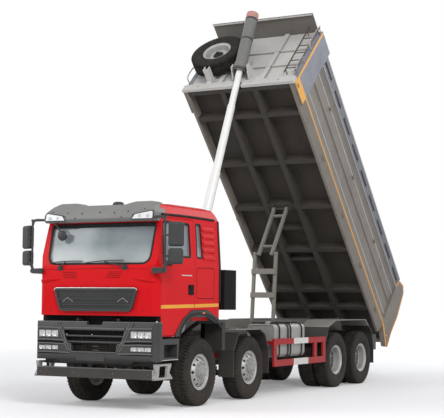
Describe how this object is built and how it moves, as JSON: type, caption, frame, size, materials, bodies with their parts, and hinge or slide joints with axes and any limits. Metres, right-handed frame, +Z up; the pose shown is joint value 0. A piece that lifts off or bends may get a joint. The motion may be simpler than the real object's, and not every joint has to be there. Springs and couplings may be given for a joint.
{
  "type": "dump truck",
  "caption": "Dump truck with a flat-nosed cab, a raised open body over twin rear wheels, a multi-stage front hoist, a folding stabiliser frame and side guards.",
  "frame": {"origin": "on the ground under the middle of the box round the truck with its body raised", "axes": "+Z up, -Y the way the truck drives, +X towards its left side"},
  "size_m": [3.1364, 11.0165, 7.6464],
  "materials": {
    "cab_paint": "semi-gloss red",
    "frame_paint": "satin dark red",
    "dark_steel": "dull black paint over iron and steel",
    "dark_plastic": "matt dark grey",
    "visor_plastic": "mid grey",
    "trim_plastic": "dark grey",
    "lamp_lens": "clear and coloured lenses",
    "tank_metal": "dull metal",
    "guard_paint": "red and white paint",
    "window_glass": "clear",
    "seat_cloth": "woven",
    "body_paint": "worn warm grey",
    "front_wall_paint": "light grey",
    "hoist_steel": "smooth, near white",
    "cover_paint": "dark grey",
    "link_paint": "light warm grey",
    "wheel_paint": "silver",
    "tyre_rubber": "dull"
  },
  "bodies": {
    "chassis": {"chassis_frame": "frame_paint", "sub_frame": "frame_paint", "engine_block": "dark_steel", "front_axles": "dark_steel", "rear_axles": "dark_steel", "leaf_springs": "dark_steel", "bumper": "dark_plastic", "cab_steps": "dark_plastic", "lamps": "lamp_lens", "underrun_bar": "dark_steel", "tanks": "tank_metal", "side_guards": "guard_paint", "mudguards": "dark_plastic", "air_intake": "dark_plastic"},
    "cab": {"cab_shell": "cab_paint", "cab_glass": "window_glass", "grille_panel": "dark_plastic", "sun_visor": "visor_plastic", "seats": "seat_cloth", "dashboard": "trim_plastic", "wheel_arches": "dark_plastic", "mirrors": "dark_plastic"},
    "left_door": {"door_left": "cab_paint", "door_left_glass": "window_glass"},
    "right_door": {"door_right": "cab_paint", "door_right_glass": "window_glass"},
    "dump_body": {"bed_floor": "body_paint", "bed_sides": "body_paint", "bed_front": "front_wall_paint", "spare_tyre": "tyre_rubber", "spare_wheel": "wheel_paint", "ladder": "body_paint"},
    "tailgate": {"tailgate": "body_paint"},
    "hoist_base": {"hoist_base": "hoist_steel"},
    "hoist_stage_1": {"hoist_stage_1": "hoist_steel"},
    "hoist_stage_2": {"hoist_stage_2": "hoist_steel"},
    "hoist_rod": {"hoist_rod": "hoist_steel", "hoist_cover": "cover_paint"},
    "stabiliser_lower": {"stabiliser_lower": "link_paint"},
    "stabiliser_upper": {"stabiliser_upper": "link_paint"},
    "knuckle_1_left": {"knuckle_1_left": "dark_steel"},
    "knuckle_1_right": {"knuckle_1_right": "dark_steel"},
    "knuckle_2_left": {"knuckle_2_left": "dark_steel"},
    "knuckle_2_right": {"knuckle_2_right": "dark_steel"},
    "wheel_front_1_left": {"tyre_front_1_left": "tyre_rubber", "wheel_front_1_left": "wheel_paint"},
    "wheel_front_1_right": {"tyre_front_1_right": "tyre_rubber", "wheel_front_1_right": "wheel_paint"},
    "wheel_front_2_left": {"tyre_front_2_left": "tyre_rubber", "wheel_front_2_left": "wheel_paint"},
    "wheel_front_2_right": {"tyre_front_2_right": "tyre_rubber", "wheel_front_2_right": "wheel_paint"},
    "wheel_rear_1_left": {"tyres_rear_1_left": "tyre_rubber", "wheels_rear_1_left": "wheel_paint"},
    "wheel_rear_1_right": {"tyres_rear_1_right": "tyre_rubber", "wheels_rear_1_right": "wheel_paint"},
    "wheel_rear_2_left": {"tyres_rear_2_left": "tyre_rubber", "wheels_rear_2_left": "wheel_paint"},
    "wheel_rear_2_right": {"tyres_rear_2_right": "tyre_rubber", "wheels_rear_2_right": "wheel_paint"}
  },
  "joints": [
    {"name": "cab_tilt", "type": "hinge", "parent": "chassis", "child": "cab", "pos_m": [0, -5.35544, 1.42], "axis": [1, 0, 0], "range_deg": [0, 50]},
    {"name": "left_door_swing", "type": "hinge", "parent": "cab", "child": "left_door", "pos_m": [1.133, -5.29144, 1.8], "axis": [0, 0, 1], "range_deg": [-65, 0]},
    {"name": "right_door_swing", "type": "hinge", "parent": "cab", "child": "right_door", "pos_m": [-1.133, -5.29144, 1.8], "axis": [0, 0, -1], "range_deg": [-65, 0]},
    {"name": "bed_tip", "type": "hinge", "parent": "chassis", "child": "dump_body", "pos_m": [0, 3.66156, 1.27], "axis": [-1, 0, 0], "range_deg": [-46.75, 0]},
    {"name": "tailgate_swing", "type": "hinge", "parent": "dump_body", "child": "tailgate", "pos_m": [0, 5.44742, 2.0205], "axis": [1, 0, 0], "range_deg": [0, 60]},
    {"name": "hoist_lean", "type": "hinge", "parent": "chassis", "child": "hoist_base", "pos_m": [0, -2.89544, 0.95], "axis": [-1, 0, 0], "range_deg": [-24.85, 0]},
    {"name": "hoist_extend_1", "type": "slide", "parent": "hoist_base", "child": "hoist_stage_1", "axis": [0, 0.4085, 0.9127], "range_m": [-1.5617, 0]},
    {"name": "hoist_extend_2", "type": "slide", "parent": "hoist_stage_1", "child": "hoist_stage_2", "axis": [0, 0.4085, 0.9127], "range_m": [-1.48978, 0]},
    {"name": "hoist_extend_3", "type": "slide", "parent": "hoist_stage_2", "child": "hoist_rod", "axis": [0, 0.4085, 0.9127], "range_m": [-2.08568, 0]},
    {"name": "stabiliser_foot", "type": "hinge", "parent": "chassis", "child": "stabiliser_lower", "pos_m": [0, 0.58456, 1.3], "axis": [-1, 0, 0], "range_deg": [-95.29, 0]},
    {"name": "stabiliser_hang", "type": "hinge", "parent": "dump_body", "child": "stabiliser_upper", "pos_m": [0, 1.41819, 3.69855], "axis": [1, 0, 0], "range_deg": [-101, 0]},
    {"name": "steer_1_left", "type": "hinge", "parent": "chassis", "child": "knuckle_1_left", "pos_m": [0.88, -4.05544, 0.5625], "axis": [0, 0, 1], "range_deg": [-35, 35]},
    {"name": "steer_1_right", "type": "hinge", "parent": "chassis", "child": "knuckle_1_right", "pos_m": [-0.88, -4.05544, 0.5625], "axis": [0, 0, 1], "range_deg": [-35, 35]},
    {"name": "steer_2_left", "type": "hinge", "parent": "chassis", "child": "knuckle_2_left", "pos_m": [0.88, -2.25544, 0.5625], "axis": [0, 0, 1], "range_deg": [-24.5, 24.5]},
    {"name": "steer_2_right", "type": "hinge", "parent": "chassis", "child": "knuckle_2_right", "pos_m": [-0.88, -2.25544, 0.5625], "axis": [0, 0, 1], "range_deg": [-24.5, 24.5]},
    {"name": "roll_front_1_left", "type": "hinge", "parent": "knuckle_1_left", "child": "wheel_front_1_left", "pos_m": [1.024, -4.05544, 0.5625], "axis": [1, 0, 0], "continuous": true},
    {"name": "roll_front_1_right", "type": "hinge", "parent": "knuckle_1_right", "child": "wheel_front_1_right", "pos_m": [-1.024, -4.05544, 0.5625], "axis": [1, 0, 0], "continuous": true},
    {"name": "roll_front_2_left", "type": "hinge", "parent": "knuckle_2_left", "child": "wheel_front_2_left", "pos_m": [1.024, -2.25544, 0.5625], "axis": [1, 0, 0], "continuous": true},
    {"name": "roll_front_2_right", "type": "hinge", "parent": "knuckle_2_right", "child": "wheel_front_2_right", "pos_m": [-1.024, -2.25544, 0.5625], "axis": [1, 0, 0], "continuous": true},
    {"name": "roll_rear_1_left", "type": "hinge", "parent": "chassis", "child": "wheel_rear_1_left", "pos_m": [1.09, 1.54456, 0.5625], "axis": [1, 0, 0], "continuous": true},
    {"name": "roll_rear_1_right", "type": "hinge", "parent": "chassis", "child": "wheel_rear_1_right", "pos_m": [-1.09, 1.54456, 0.5625], "axis": [1, 0, 0], "continuous": true},
    {"name": "roll_rear_2_left", "type": "hinge", "parent": "chassis", "child": "wheel_rear_2_left", "pos_m": [1.09, 2.89456, 0.5625], "axis": [1, 0, 0], "continuous": true},
    {"name": "roll_rear_2_right", "type": "hinge", "parent": "chassis", "child": "wheel_rear_2_right", "pos_m": [-1.09, 2.89456, 0.5625], "axis": [1, 0, 0], "continuous": true}
  ],
  "couplings": [
    {"joint": "hoist_lean", "follows": "bed_tip", "ratio": 0.53145},
    {"joint": "hoist_extend_1", "follows": "bed_tip", "m_per_rad": 1.914},
    {"joint": "hoist_extend_2", "follows": "bed_tip", "m_per_rad": 1.8258},
    {"joint": "hoist_extend_3", "follows": "bed_tip", "m_per_rad": 2.5562},
    {"joint": "stabiliser_foot", "follows": "bed_tip", "ratio": 2.0383},
    {"joint": "stabiliser_hang", "follows": "bed_tip", "ratio": 2.1603},
    {"joint": "steer_1_right", "follows": "steer_1_left", "ratio": 1},
    {"joint": "steer_2_left", "follows": "steer_1_left", "ratio": 0.7},
    {"joint": "steer_2_right", "follows": "steer_1_left", "ratio": 0.7}
  ]
}
